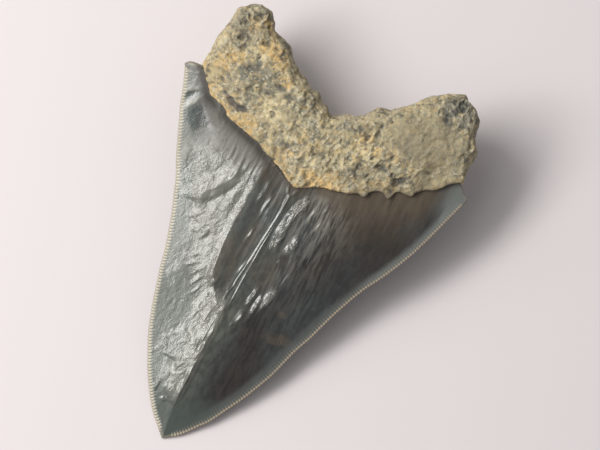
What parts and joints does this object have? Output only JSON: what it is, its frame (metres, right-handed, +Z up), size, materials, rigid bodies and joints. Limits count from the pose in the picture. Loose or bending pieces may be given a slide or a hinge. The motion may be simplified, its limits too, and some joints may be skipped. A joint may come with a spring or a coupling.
{
  "type": "fossil shark tooth",
  "caption": "Large fossil shark tooth lying on its inner face: a broad triangular blade with finely serrated edges and folded enamel, grown on a rough two-lobed stone root.",
  "frame": {"origin": "the middle of the footprint's box, on the surface that the tooth lies on", "axes": "+Y runs from the tip towards the root, +X across the blade to the right lobe as seen on the labial face, +Z up out of the labial face"},
  "size_m": [0.0924, 0.128, 0.0303],
  "materials": {
    "enamel": "polished fossil enamel, mottled dark grey-green, cream serrations",
    "root_stone": "rough, pitted fossil root, beige, ochre and grey"
  },
  "bodies": {
    "root": {"tooth": "enamel"}
  },
  "joints": []
}
